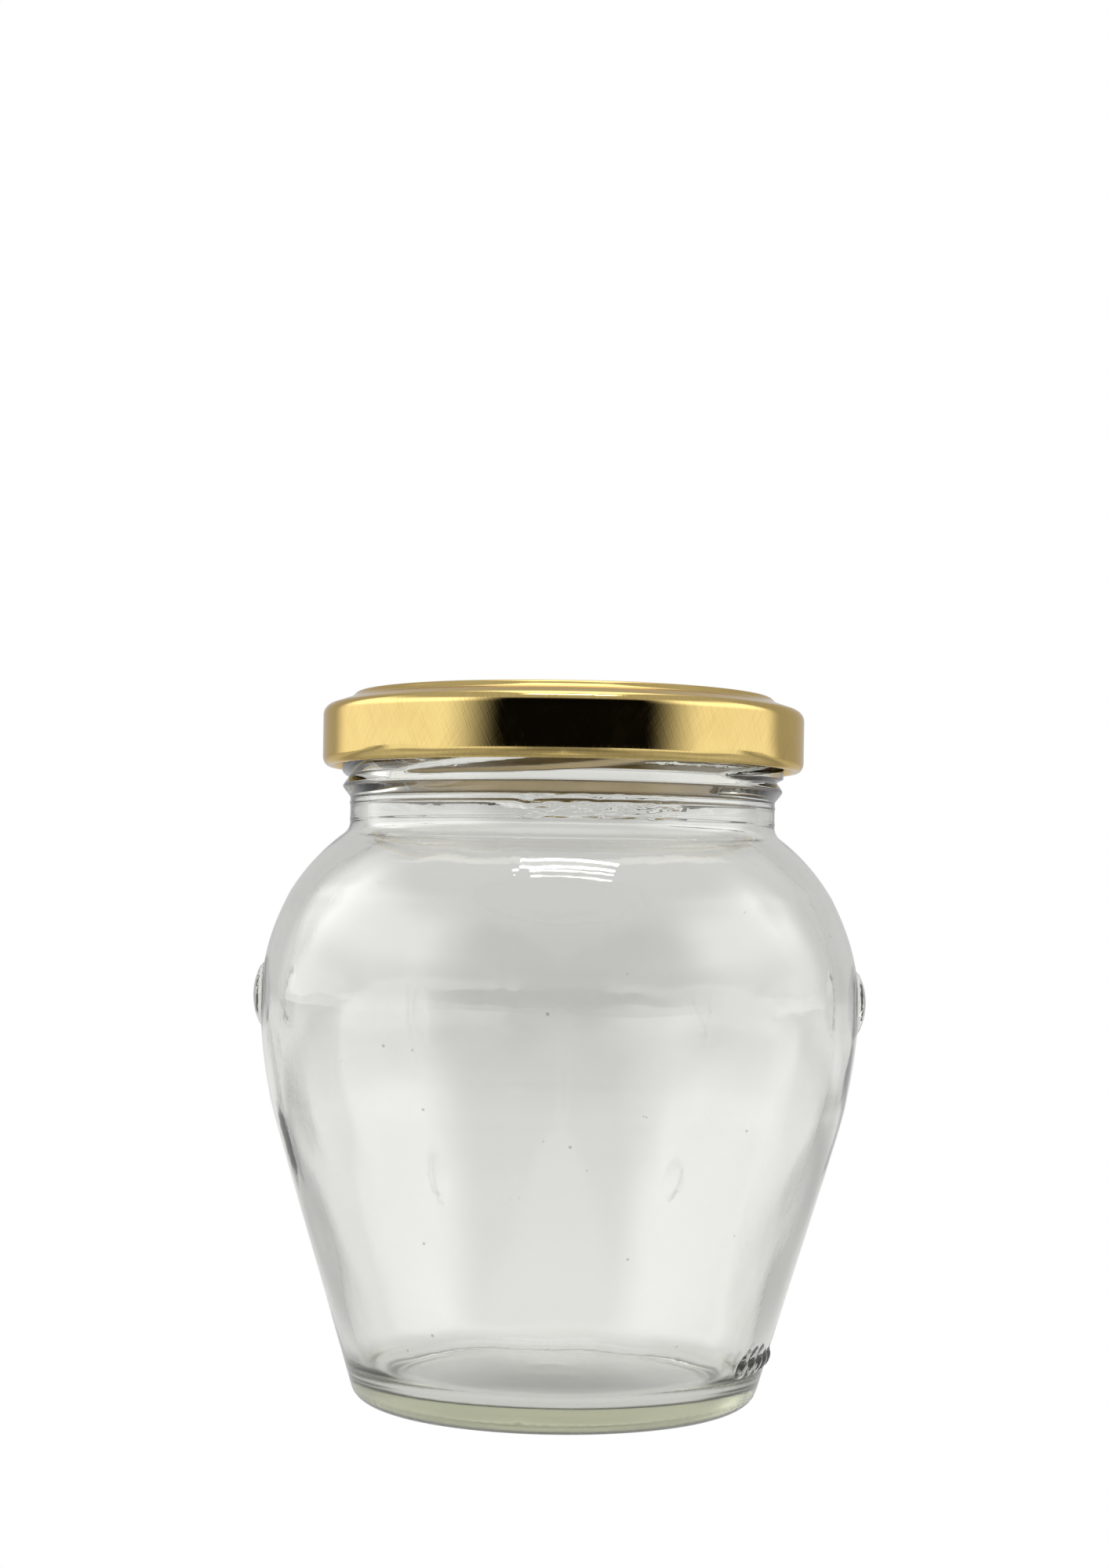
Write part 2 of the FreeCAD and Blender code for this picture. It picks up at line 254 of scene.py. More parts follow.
def glassOutline():
    g = glass
    wall = g["wall"]
    lean = g["taper"]
    cosLean = math.cos(math.radians(lean))
    sinLean = math.sin(math.radians(lean))
    slope = sinLean / cosLean
    lowerCentre = (g["belly"] - g["lowerCurve"], g["bellyHeight"])
    upperCentre = (g["belly"] - g["upperCurve"], g["bellyHeight"])
    wallTop = (lowerCentre[0] + g["lowerCurve"] * cosLean, lowerCentre[1] - g["lowerCurve"] * sinLean)
    wallFoot = wallTop[0] - wallTop[1] * slope
    heel = g["heelCurve"]
    heelCentre = (wallFoot + heel * slope - heel / cosLean, heel)
    heelTop = (heelCentre[0] + heel * cosLean, heel - heel * sinLean)
    neckCentre = (g["neck"] + g["neckCurve"], g["neckStart"])
    joinAngle = math.degrees(math.asin(
        (g["neckStart"] - g["bellyHeight"]) / (g["upperCurve"] + g["neckCurve"])))

    # outside, from the middle of the underside to the rim
    dotTop = g["dotZone"][1]
    outer = pathThrough([
        (0, g["pushUpCentre"]), (g["footInside"] - g["pushUpSlope"], g["pushUp"]),
        (g["footInside"] - g["footSlope"], g["footStep"]), (g["footInside"], 0.0), (heelCentre[0], 0.0)],
        (8, 6, 2, 2))
    outer += arcPoints(heelCentre, heel, -90, -lean, 9)
    outer += pathThrough([heelTop, (wallFoot + dotTop * slope, dotTop), wallTop], (18, 20))
    outer += arcPoints(lowerCentre, g["lowerCurve"], -lean, 0, 24)
    outer += arcPoints(upperCentre, g["upperCurve"], 0, joinAngle, 40)
    outer += arcPoints(neckCentre, g["neckCurve"], 180 + joinAngle, 180, 5)
    rimFoot = g["rim"] - g["rimCurve"]
    outer += pathThrough([
        (g["neck"], g["neckStart"]), (g["neck"], g["neckTop"]), (g["finish"], g["finishStart"]),
        (g["finish"], rimFoot)], (22, 46, 4))
    outer += arcPoints((g["finish"] - g["rimCurve"], rimFoot), g["rimCurve"], 0, 90, 6)

    # inside, from the rim to the middle of the floor
    innerNeck = g["neck"] - wall
    soft = g["rimInside"]
    inner = linePoints((g["finish"] - g["rimCurve"], g["rim"]), (innerNeck + soft, g["rim"]), 2)
    inner += arcPoints((innerNeck + soft, g["rim"] - soft), soft, 90, 180, 5)
    inner += linePoints((innerNeck, g["rim"] - soft), (innerNeck, g["neckStart"]), 9)
    inner += arcPoints(neckCentre, g["neckCurve"] + wall, 180, 180 + joinAngle, 6)
    inner += arcPoints(upperCentre, g["upperCurve"] - wall, joinAngle, 0, 24)
    inner += arcPoints(lowerCentre, g["lowerCurve"] - wall, 0, -lean, 12)
    corner = g["floorCurve"]
    floor = g["floorEdge"]
    innerFoot = wallFoot - wall / cosLean
    cornerCentre = (innerFoot + (floor + corner) * slope - corner / cosLean, floor + corner)
    innerTop = (lowerCentre[0] + (g["lowerCurve"] - wall) * cosLean,
                lowerCentre[1] - (g["lowerCurve"] - wall) * sinLean)
    innerHeel = (cornerCentre[0] + corner * cosLean, cornerCentre[1] - corner * sinLean)
    inner += linePoints(innerTop, innerHeel, 14)
    inner += arcPoints(cornerCentre, corner, -lean, -90, 8)
    inner += linePoints((cornerCentre[0], floor), (0, g["floorCentre"]), 9)
    inner.append((0, g["floorCentre"]))
    outer = eased(outer, g["bellyHeight"], g["easeReach"], g["easeOutside"])
    inner = eased(inner, g["bellyHeight"], g["easeReach"], g["easeInside"])
    return [(r, z, 1.0) for r, z in outer] + [(r, z, 0.0) for r, z in inner]


def threadLift(angle, height):
    # the raised thread starts, tapered at both ends
    g = glass
    tipStart, tipFull = g["threadTip"]
    best = 0.0
    for start in range(g["threadCount"]):
        low = front + math.radians(g["threadStart"] + 360 / g["threadCount"] * start)
        along = turnFrom(angle, low)
        if along > 360 + tipStart:
            along -= 360
        if along > g["threadSpan"] - tipStart:
            continue
        # the upper edge follows the lead, and the lower edge starts almost level and then catches up
        top = g["threadTop"] + g["threadRise"] * along
        level = g["threadFoot"] + g["threadSag"] * min(along, g["threadSagEnd"]) ** 2
        foot = level + (top - g["threadBand"] - level) * smoothStep(*g["threadCatchUp"], along)
        half = (top - foot) / 2
        tip = smoothStep(tipStart, tipFull, along)
        tail = smoothStep(g["threadSpan"] + g["threadTail"][0], g["threadSpan"] + g["threadTail"][1], along)
        off = abs(height - (top + foot) / 2) - half * (0.35 + 0.65 * tip)
        flank = 1 - smoothStep(*g["threadFlank"], off)
        best = max(best, g["threadLift"] * math.sqrt(tip) * tail * flank)
    return best


def beadLift(height):
    # a rounded ridge with straight flanks
    soft = glass["beadRound"]
    off = (height - glass["beadHeight"]) / glass["beadHalf"]
    return (glass["beadRadius"] - glass["neck"]) * max(0.0, 1 + soft - math.hypot(off, soft))


def nubLift(angle, height, radius):
    best = 0.0
    for middle in (0.0, math.pi):
        across = math.radians(apart(angle, middle)) * radius / glass["nubWidth"]
        up = (height - glass["nubHeight"]) / glass["nubTall"]
        inside = max(0.0, 1 - across * across - up * up)
        edge = smoothStep(0, glass["nubEdge"], inside)
        best = max(best, glass["nubLift"] * inside ** glass["nubFall"] * edge)
    return best


def dotLift(angle, height, radius):
    best = 0.0
    for index in range(glass["dotCount"]):
        middle = front + math.radians(glass["dotFirst"] + glass["dotStep"] * index)
        across = math.radians(apart(angle, middle)) * radius
        reach = math.hypot(across, height - glass["dotHeight"]) / glass["dotRadius"]
        best = max(best, glass["dotLift"] * math.sqrt(max(0.0, 1 - reach * reach)))
    return best


def partingLift(angle, height):
    # the fine lines where the parts of the mould met, with a small kink at the seam
    kink = glass["partingKink"] * math.exp(-(apart(angle, front) - glass["seam"]) ** 2 / glass["kinkSpread"])
    lift = 0.0
    for middle, size in glass["partings"]:
        off = (height - middle + kink) / glass["partingHalf"]
        lift += size * math.exp(-off * off)
    return lift


def wallLift(angle, radius, spot):
    # peeled skin on the neck, the two upright seams, and a broad wave
    lift = 0.0
    if within(glass["peelZone"], spot.z) and glass["seam"] < apart(angle, front) < glass["peelEnd"]:
        lift += glass["peel"] * noise.noise(Vector((spot.x, spot.y, spot.z * glass["peelStretch"])))
    for seam in (glass["seam"], glass["seam"] + 180):
        across = math.radians(apart(angle, front + math.radians(seam))) * radius
        lift += glass["seamLift"] * math.exp(-(across / glass["seamWidth"]) ** 2)
    return lift + glass["outerWave"] * noise.noise(spot * glass["outerWaveScale"])


def ridgeLift(angle, height):
    # the grip of small ridges around the heel
    low, high = glass["ridgeZone"]
    full, fading = glass["ridgeFade"]
    ridge = 0.5 + 0.5 * math.cos(angle * glass["ridgeCount"])
    return glass["ridgeLift"] * ridge * smoothStep(low, full, height) * smoothStep(high, fading, height)


def innerLift(height, spot):
    # blown glass is never quite even inside, but the neck is
    broad = noise.noise(Vector((spot.x * 0.05, spot.y * 0.05, spot.z * 0.035)))
    fine = noise.noise(Vector((spot.x * 0.16 + 9, spot.y * 0.16, spot.z * 0.10)))
    return glass["innerWave"] * smoothStep(*glass["innerCalm"], height) * (broad + 0.35 * fine)


def shapeGlass(bm):
    # raises the moulded details, and gives the wall its uneven blown thickness
    side = bm.verts.layers.float["side"]
    lens = bm.verts.layers.float.new("lens")
    seamRadius, seamHeight = glass["seamFrom"]
    for vert in bm.verts:
        radius = math.hypot(vert.co.x, vert.co.y) / mm
        height = vert.co.z / mm
        if radius < 1e-3:
            continue
        angle = math.atan2(vert.co.y, vert.co.x)
        spot = vert.co / mm
        lift = 0.0
        if vert[side] < 0.5:
            lift = innerLift(height, spot)
        else:
            if within(glass["threadZone"], height):
                bead = beadLift(height) if height < glass["beadStop"] else 0.0
                lift += max(threadLift(angle, height), bead)
            if within(glass["nubZone"], height):
                lift += nubLift(angle, height, radius)
            if within(glass["dotZone"], height):
                dot = dotLift(angle, height, radius)
                # painted shade: each dot is darkened, and the amount is kept on its vertices
                vert[lens] = glass["dotShadeStrength"] * smoothStep(0.05, 0.3, dot)
                lift += dot
            if within(glass["partingZone"], height):
                lift += partingLift(angle, height)
            if radius > seamRadius and height > seamHeight:
                lift += wallLift(angle, radius, spot)
            if radius > glass["footInside"] and within(glass["ridgeZone"], height):
                lift += ridgeLift(angle, height)
        push = lift / radius
        vert.co.x *= 1 + push
        vert.co.y *= 1 + push


def makeGlassMaterial():
    g = glass
    material, tree, shader = newMaterial("clearGlass")
    # painted shade on the dots, read from their vertices
    lens = addNode(tree, "ShaderNodeAttribute", {"attribute_name": "lens"})
    # a few tiny bubbles caught in the glass
    place = addNode(tree, "ShaderNodeTexCoord")
    cells = addNode(tree, "ShaderNodeTexVoronoi", None, {
        "Vector": place.outputs["Object"], "Scale": g["bubbleScale"]})
    bubble = mapRange(tree, cells.outputs["Distance"], *g["bubbleSize"], 0.0, g["bubbleDark"])
    # painted shade: the two nubs are thick enough to look dark where they are seen directly, so their colour
    # is darkened for camera rays only
    split = addNode(tree, "ShaderNodeSeparateXYZ", None, {0: place.outputs["Object"]})
    across = mathNode(tree, "DIVIDE", split.outputs["Y"], g["nubWidth"] * mm)
    rise = mathNode(tree, "SUBTRACT", split.outputs["Z"], g["nubHeight"] * mm)
    up = mathNode(tree, "DIVIDE", rise, g["nubTall"] * mm)
    reach = mathNode(tree, "ADD", mathNode(tree, "MULTIPLY", across, across),
                     mathNode(tree, "MULTIPLY", up, up))
    oval = mapRange(tree, reach, *g["nubShadeReach"], 0.0, 1.0, smooth=True)
    raised = mapRange(tree, mathNode(tree, "ABSOLUTE", split.outputs["X"]),
                      g["nubFrom"][0] * mm, g["nubFrom"][1] * mm, 0.0, 1.0)
    path = addNode(tree, "ShaderNodeLightPath")
    seen = mathNode(tree, "MULTIPLY", raised, path.outputs["Is Camera Ray"])
    thick = mathNode(tree, "MULTIPLY", oval, seen)
    # the colour darkens with painted shade on the dots and nubs, and with the specks of the bubbles
    dark = mathNode(tree, "MAXIMUM", mathNode(tree, "MAXIMUM", lens.outputs["Fac"], thick), bubble)
    tree.links.new(addColour(tree, g["tint"], g["shadeAndSpeckTint"], dark), shader.inputs["Base Color"])
    shader.inputs["Transmission Weight"].default_value = 1.0
    shader.inputs["IOR"].default_value = g["ior"]
    # the heel is stippled by the mould, so it blurs what is seen through it
    stipple = mapRange(tree, split.outputs["Z"], g["heelZone"][0] * mm, g["heelZone"][1] * mm,
                       g["heelRough"], 0.0, smooth=True)
    tree.links.new(stipple, shader.inputs["Roughness"])
    marks = addMarks(tree, g["markScale"], 1.0)
    bump = addNode(tree, "ShaderNodeBump", None, {
        "Strength": g["markBump"], "Distance": g["markDepth"] * mm, "Height": marks.outputs["Height"]})
    tree.links.new(bump.outputs["Normal"], shader.inputs["Normal"])
    depth = addNode(tree, "ShaderNodeVolumeAbsorption", None, {
        "Color": g["depthColour"], "Density": g["depthDensity"]})
    tree.links.new(depth.outputs["Volume"], tree.nodes["Material Output"].inputs["Volume"])
    return material


def makeGlassJar():
    bm = turnOutline(glassOutline(), glass["columns"])
    shapeGlass(bm)
    piece = finishPiece(bm, "blownGlassJar", [makeGlassMaterial()])
    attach(piece, "jar")
    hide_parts("glass_jar")


lid = {
    "columns": 320,
    "sheet": 0.2,
    "skirt": 33.2, "skirtTop": 94.1,
    "corner": (31.9, 95.65), "cornerCurve": 1.6,
    "ringFoot": (29.3, 96.75), "ringOuter": 28.5, "ringInner": 26.4, "ringTop": 97.3,
    "panel": 25.7, "panelHeight": 96.2,
    "button": 9.0, "buttonRise": 0.3, "buttonSlope": 0.6,
    "curl": 0.95, "curlTall": 1.4, "curlBottom": 87.1, "curlTurn": -255,
    "lugCount": 4, "lugMiddle": 46.0, "lugHalf": 9.0, "lugInner": 29.95, "lugLow": 87.1, "lugThick": 0.8,
    "lugBlend": 1.2, "lugDraw": 0.28, "drawTall": 3.6, "drawBlend": (7, -5), "plainRadius": 30,
    # gold lacquer outside: hairlines are (lean, fineness)
    "gold": (0.585, 0.445, 0.165, 1.0), "goldDeep": (0.47, 0.32, 0.10, 1.0),
    "edgeTint": (0.90, 0.76, 0.52, 1.0),
    "goldRough": (0.04, 0.07), "coat": 0.35, "coatRough": 0.06, "goldMarks": 90.0,
    "hairlines": ((0.40, 5.5), (-0.62, 6.5)), "hairlineCut": (0.50, 0.78), "hairlineLong": 6.0,
    "hairlineWorn": 0.35, "hairlineRough": 0.05, "hairlineBump": 0.05, "hairlineDepth": 0.03,
    # duller lacquer inside
    "inside": (0.68, 0.53, 0.29, 1.0), "insideDarker": 0.82, "insideMetal": 0.6,
    "insideRough": (0.28, 0.42), "insideMarks": 140.0,
}


def arcOf(start, end, radius, left, steps):
    # the short arc from start to end, with its centre on the left of the way if left is True
    a, b = Vector(start), Vector(end)
    chord = b - a
    reach = math.sqrt(max(radius ** 2 - (chord.length / 2) ** 2, 0))
    sideways = Vector((-chord.y, chord.x)).normalized() * (reach if left else -reach)
    centre = (a + b) / 2 + sideways
    first = math.degrees(math.atan2(a.y - centre.y, a.x - centre.x))
    turn = (math.degrees(math.atan2(b.y - centre.y, b.x - centre.x)) - first + 180) % 360 - 180
    return arcPoints(centre, radius, first, first + turn, steps)


def curlPoints(centre, radius, first, last, steps):
    # the rolled edge is an oval, taller than it is wide
    points = arcPoints(centre, radius, first, last, steps)
    return [(r, centre[1] + (z - centre[1]) * lid["curlTall"]) for r, z in points]


def lidOutline():
    s = lid
    thick = s["sheet"]
    centre = (s["skirt"] - s["curl"], s["curlBottom"] + s["curl"] * s["curlTall"])
    buttonIn = s["button"] - s["buttonSlope"]
    buttonOut = s["button"] + s["buttonSlope"]
    footRadius, footHeight = s["ringFoot"]

    # outside, from the middle of the panel to the end of the rolled edge
    panel = s["panelHeight"]
    button = panel + s["buttonRise"]
    panelEdge = (s["panel"] - 0.5, panel)
    ringStep = (s["panel"] + 0.35, panel + 0.55)
    ringIn = (s["ringInner"] + 0.4, s["ringTop"])
    ringOut = (s["ringOuter"] - 0.2, s["ringTop"])
    slopeTop = (footRadius - 0.25, footHeight + 0.1)
    slopeFoot = (footRadius + 0.7, footHeight - 0.45)
    skirtTop = (s["skirt"], s["skirtTop"])
    outer = pathThrough([(0, button), (buttonIn, button), (buttonOut, panel), panelEdge], (8, 4, 14))
    outer += arcOf(panelEdge, ringStep, 0.8, True, 3)
    outer += arcOf(ringStep, ringIn, 0.7, False, 3)
    outer += linePoints(ringIn, ringOut, 4)
    outer += arcOf(ringOut, slopeTop, 0.9, False, 4)
    outer += arcOf(slopeTop, slopeFoot, 2.0, True, 4)
    outer += linePoints(slopeFoot, s["corner"], 5)
    outer += arcOf(s["corner"], skirtTop, s["cornerCurve"], False, 9)
    outer += linePoints(skirtTop, (s["skirt"], centre[1]), 10)
    outer += curlPoints(centre, s["curl"], 0, s["curlTurn"], 20)

    # inside, back to the middle
    under = panel - thick
    buttonUnder = under + s["buttonRise"]
    ringUnder = s["ringTop"] - thick
    innerSkirt = s["skirt"] - thick
    innerCorner = (s["corner"][0] - 0.1, s["corner"][1] - thick)
    inner = curlPoints(centre, s["curl"] - thick, s["curlTurn"], 0, 18)
    inner += linePoints((innerSkirt, centre[1]), (innerSkirt, s["skirtTop"]), 8)
    inner += arcOf((innerSkirt, s["skirtTop"]), innerCorner, s["cornerCurve"] - thick, True, 7)
    inner += pathThrough([
        innerCorner, (footRadius - 0.05, footHeight - thick), (s["ringOuter"] - 0.2, ringUnder),
        (s["ringInner"] + 0.45, ringUnder), (s["panel"] + 0.1, under), (buttonOut, under),
        (buttonIn, buttonUnder), (0, buttonUnder)], (6, 4, 4, 5, 12, 4, 8))
    inner.append((0, buttonUnder))
    return [(r, z, 0.0) for r, z in outer] + [(r, z, 1.0) for r, z in inner]


def shapeLugs(bm):
    # presses the rolled edge flat and inwards at each lug
    s = lid
    curlHeight = 2 * s["curl"] * s["curlTall"]
    curlTop = s["curlBottom"] + curlHeight
    outerEdge = s["skirt"] - s["curl"]
    reach = s["skirt"] - 2 * s["curl"] - s["lugInner"]
    half = s["lugHalf"]
    for vert in bm.verts:
        radius = math.hypot(vert.co.x, vert.co.y) / mm
        height = vert.co.z / mm
        if radius < s["plainRadius"]:
            continue
        angle = math.atan2(vert.co.y, vert.co.x)
        aside = min(abs(apart(angle, front + math.radians(s["lugMiddle"] + 360 / s["lugCount"] * index)))
                    for index in range(s["lugCount"]))
        # forming a lug also draws in the foot of the skirt above it
        draw = s["lugDraw"] * smoothStep(half + s["drawBlend"][0], half + s["drawBlend"][1], aside)
        down = max(0.0, 1 - (height - s["curlBottom"]) / s["drawTall"])
        drawn = 1 - draw * down * down / radius
        vert.co.x *= drawn
        vert.co.y *= drawn
        press = smoothStep(half + s["lugBlend"], half - s["lugBlend"], aside)
        if press == 0 or height > curlTop + 0.05 or radius > s["skirt"] - 0.25:
            continue
        inward = smoothStep(outerEdge + 0.6, outerEdge - s["curl"], radius)
        pulled = 1 - reach * inward * press / radius
        flat = s["lugLow"] + (height - s["curlBottom"]) * s["lugThick"] / curlHeight
        squash = press * smoothStep(outerEdge + 0.9, outerEdge - 0.2, radius)
        vert.co.x *= pulled
        vert.co.y *= pulled
        vert.co.z = (height + (flat - height) * squash) * mm


def makeGoldMaterial():
    s = lid
    material, tree, shader = newMaterial("goldLacquer")
    marks = addMarks(tree, s["goldMarks"], 1.0)
    # fine hairlines left by printing and stacking, leaning both ways
    around = addNode(tree, "ShaderNodeUVMap", {"uv_map": "around"})
    height = None
    for lean, fineness in s["hairlines"]:
        turned = addNode(tree, "ShaderNodeMapping", {"vector_type": "TEXTURE"}, {
            "Vector": around.outputs["UV"], "Rotation": (0.0, 0.0, lean),
            "Scale": (1 / fineness, s["hairlineLong"], 1.0)})
        lines = addNode(tree, "ShaderNodeTexNoise", {"noise_dimensions": "2D"}, {
            "Vector": turned.outputs["Vector"], "Scale": 1.0, "Detail": 1.0})
        thin = mapRange(tree, lines.outputs["Fac"], *s["hairlineCut"], 0.0, 1.0)
        height = thin if height is None else mathNode(tree, "ADD", height, thin)
    worn = mathNode(tree, "ADD", mathNode(tree, "MULTIPLY", marks.outputs["Mask"], 0.3),
                    mathNode(tree, "MULTIPLY", height, s["hairlineWorn"]))
    tree.links.new(addColour(tree, s["gold"], s["goldDeep"], worn), shader.inputs["Base Color"])
    broad = mapRange(tree, marks.outputs["Mask"], 0.0, 1.0, *s["goldRough"])
    rough = mathNode(tree, "ADD", broad, mathNode(tree, "MULTIPLY", height, s["hairlineRough"]))
    tree.links.new(rough, shader.inputs["Roughness"])
    bump = addNode(tree, "ShaderNodeBump", None, {
        "Strength": s["hairlineBump"], "Distance": s["hairlineDepth"] * mm, "Height": height})
    tree.links.new(bump.outputs["Normal"], shader.inputs["Normal"])
    shader.inputs["Metallic"].default_value = 1.0
    shader.inputs["Specular Tint"].default_value = s["edgeTint"]
    shader.inputs["Coat Weight"].default_value = s["coat"]
    shader.inputs["Coat Roughness"].default_value = s["coatRough"]
    return material


def darkened(colour, share):
    return tuple(share * value for value in colour[:3]) + (1.0,)


def makeInsideMaterial():
    material, tree, shader = newMaterial("insideLacquer")
    mask = addMarks(tree, lid["insideMarks"], 1.0).outputs["Mask"]
    darker = darkened(lid["inside"], lid["insideDarker"])
    colour = addColour(tree, lid["inside"], darker, mathNode(tree, "MULTIPLY", mask, 0.3))
    tree.links.new(colour, shader.inputs["Base Color"])
    tree.links.new(mapRange(tree, mask, 0.0, 1.0, *lid["insideRough"]), shader.inputs["Roughness"])
    shader.inputs["Metallic"].default_value = lid["insideMetal"]
    return material


def makeLid():
    bm = turnOutline(lidOutline(), lid["columns"])
    side = bm.verts.layers.float["side"]
    shapeLugs(bm)
    unwrapAround(bm, lid["skirt"])
    # faces made of inside vertices only take the duller lacquer
    for face in bm.faces:
        face.material_index = 1 if sum(vert[side] for vert in face.verts) > 2.5 else 0
    piece = finishPiece(bm, "lugCapShell", [makeGoldMaterial(), makeInsideMaterial()])
    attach(piece, "lid")
    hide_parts("lid_shell")


seal = {
    "columns": 256,
    "inner": 26.75, "outer": 28.85, "low": 96.45, "high": 97.02,
    "drop": 0.32,  # the outer edge stays under the slope of the channel
    "colour": (0.80, 0.77, 0.70, 1.0), "darker": 0.8, "rough": (0.5, 0.65),
    "marks": 420.0, "markBump": 0.2, "markDepth": 0.1,
}


def makeSealMaterial():
    material, tree, shader = newMaterial("softCompound")
    marks = addMarks(tree, seal["marks"], 1.0)
    mask = marks.outputs["Mask"]
    darker = darkened(seal["colour"], seal["darker"])
    colour = addColour(tree, seal["colour"], darker, mathNode(tree, "MULTIPLY", mask, 0.5))
    tree.links.new(colour, shader.inputs["Base Color"])
    tree.links.new(mapRange(tree, mask, 0.0, 1.0, *seal["rough"]), shader.inputs["Roughness"])
    bump = addNode(tree, "ShaderNodeBump", None, {
        "Strength": seal["markBump"], "Distance": seal["markDepth"] * mm, "Height": marks.outputs["Height"]})
    tree.links.new(bump.outputs["Normal"], shader.inputs["Normal"])
    return material


def makeSeal():
    # a low moulded band: flat where the rim presses it, and rounded at its edges
    s = seal
    middle = (s["low"] + s["high"]) / 2
    half = (s["high"] - s["low"]) / 2
    drop = s["drop"] / 2
    outline = arcPoints((s["outer"] - half, middle - drop), half - drop, -90, 90, 8)
    outline += arcPoints((s["inner"] + half, middle), half, 90, 270, 8)
    outline += linePoints((s["inner"] + half, s["low"]), (s["outer"] - half, s["low"]), 6)
    bm = turnOutline([(r, z, 0.0) for r, z in outline], s["columns"], closed=True)
    piece = finishPiece(bm, "compoundRing", [makeSealMaterial()])
    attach(piece, "seal")
    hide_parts("sealing_ring")


# distances in metres, and directions in degrees from straight ahead
studio = {
    # the floor's glow set out below is painted light and shade
    "floorReach": 1.6,
    "floorNear": 0.86, "floorFar": 0.62, "farFrom": (0.1, 1.2),
    "floorSideLight": 1.1, "sidesFrom": (0.05, 0.16), "sidesEnd": (-0.02, 0.10),
    "floorAside": 0.60, "floorCorner": 1.0, "cornerFrom": (0.12, 0.26), "asideFrom": (0.2, 0.42),
    "asideBehind": 0.12,
    "floorFrontShade": 0.40, "frontFrom": (-0.25, -0.60), "frontSpread": (0.2, 0.55),
    "floorPaintedShadow": 0.66, "paintedShadowFrom": (0.015, 0.045),
    "frontPatchShade": 0.6, "fadeFrom": (0.11, 0.22), "fadeEnd": (0.05, -0.05),
    "farSideLight": 1.35, "beyondFrom": (0.34, 0.6), "beyondSides": (0.25, 0.5),
    "sides": 1.6, "sidesHigh": 2.6, "sidesRise": (0.15, 0.45),
    "darkFront": 0.004, "darkMiddle": 5.0, "darkHalf": 34.0, "darkBlur": 32.0,
    "backdrop": 0.63, "backAside": 0.60, "backStart": 116.0, "backBlur": 16.0, "backMiddle": -8.0,
    "backTurn": (158.0, 172.0),
    "overhead": 0.72, "overheadFrom": (0.55, 0.8),
    "ceiling": 2.6, "ceilingMiddle": 0.02, "ceilingHalf": (0.16, 0.21), "ceilingStart": (0.05, 0.15),
    "stripPower": 0.5, "stripSize": (0.30, 0.022), "stripSide": 0.03, "stripHeight": 0.75,
    "stripPlaces": (-0.10, -0.16),
}

cameraSettings = {
    "place": (-0.0009, -0.3664, 0.0688), "roll": 0.9,
    "lens": 60.65, "sensor": 36.0, "rise": 0.0754,
}


def plainForCamera(tree, light):
    # the camera sees plain white, and everything else sees the light as it is
    path = tree.nodes.new("ShaderNodeLightPath")
    return blend(tree, path.outputs["Is Camera Ray"], light, 1.0)


def floorLight(tree):
    s = studio
    place = tree.nodes.new("ShaderNodeTexCoord")
    split = addNode(tree, "ShaderNodeSeparateXYZ", None, {0: place.outputs["Object"]})
    across = mathNode(tree, "ABSOLUTE", split.outputs["X"])
    along = split.outputs["Y"]
    off = addNode(tree, "ShaderNodeVectorMath", {"operation": "LENGTH"}, {
        0: place.outputs["Object"]}).outputs["Value"]
    # behind the jar: painted light, paler in the middle than towards the corners
    depth = mapRange(tree, along, *s["farFrom"], s["floorNear"], s["floorFar"])
    behind = mathNode(tree, "MAXIMUM", mathNode(tree, "ADD", along, s["asideBehind"]), 0.01)
    lean = mathNode(tree, "DIVIDE", across, behind)
    corner = mapRange(tree, along, *s["cornerFrom"], s["floorAside"], s["floorCorner"], smooth=True)
    depth = mathNode(tree, "MULTIPLY", depth, mapRange(tree, lean, *s["asideFrom"], 1.0, corner, smooth=True))
    # painted light at both sides, and a painted shadow close under the jar
    aside = mapRange(tree, across, *s["sidesFrom"], 0.0, 1.0, smooth=True)
    sideLightShare = mathNode(tree, "MULTIPLY", aside, mapRange(tree, along, *s["sidesEnd"], 1.0, 0.0))
    under = mapRange(tree, off, *s["paintedShadowFrom"], s["floorPaintedShadow"], 1.0, smooth=True)
    lit = mathNode(tree, "MULTIPLY", blend(tree, sideLightShare, depth, s["floorSideLight"]), under)
    # painted shade in a duller patch around the front, and painted light far out at the sides, brighter again
    ring = mapRange(tree, off, *s["fadeFrom"], 0.0, 1.0, smooth=True)
    fade = mathNode(tree, "MULTIPLY", ring, mapRange(tree, along, *s["fadeEnd"], 0.0, 1.0))
    wing = mapRange(tree, across, *s["beyondSides"], 1.0, s["farSideLight"])
    beyond = mapRange(tree, off, *s["beyondFrom"], s["frontPatchShade"], wing, smooth=True)
    lit = mathNode(tree, "MULTIPLY", lit, mapRange(tree, fade, 0.0, 1.0, 1.0, beyond))
    # painted shade straight in front, where the room is dark
    ahead = mapRange(tree, along, *s["frontFrom"], 0.0, 1.0, smooth=True)
    forward = mathNode(tree, "MAXIMUM", mathNode(tree, "MULTIPLY", along, -1.0), 0.01)
    slant = mathNode(tree, "DIVIDE", across, forward)
    spread = mapRange(tree, slant, *s["frontSpread"], 1.0, 0.0, smooth=True)
    return blend(tree, mathNode(tree, "MULTIPLY", ahead, spread), lit, s["floorFrontShade"])


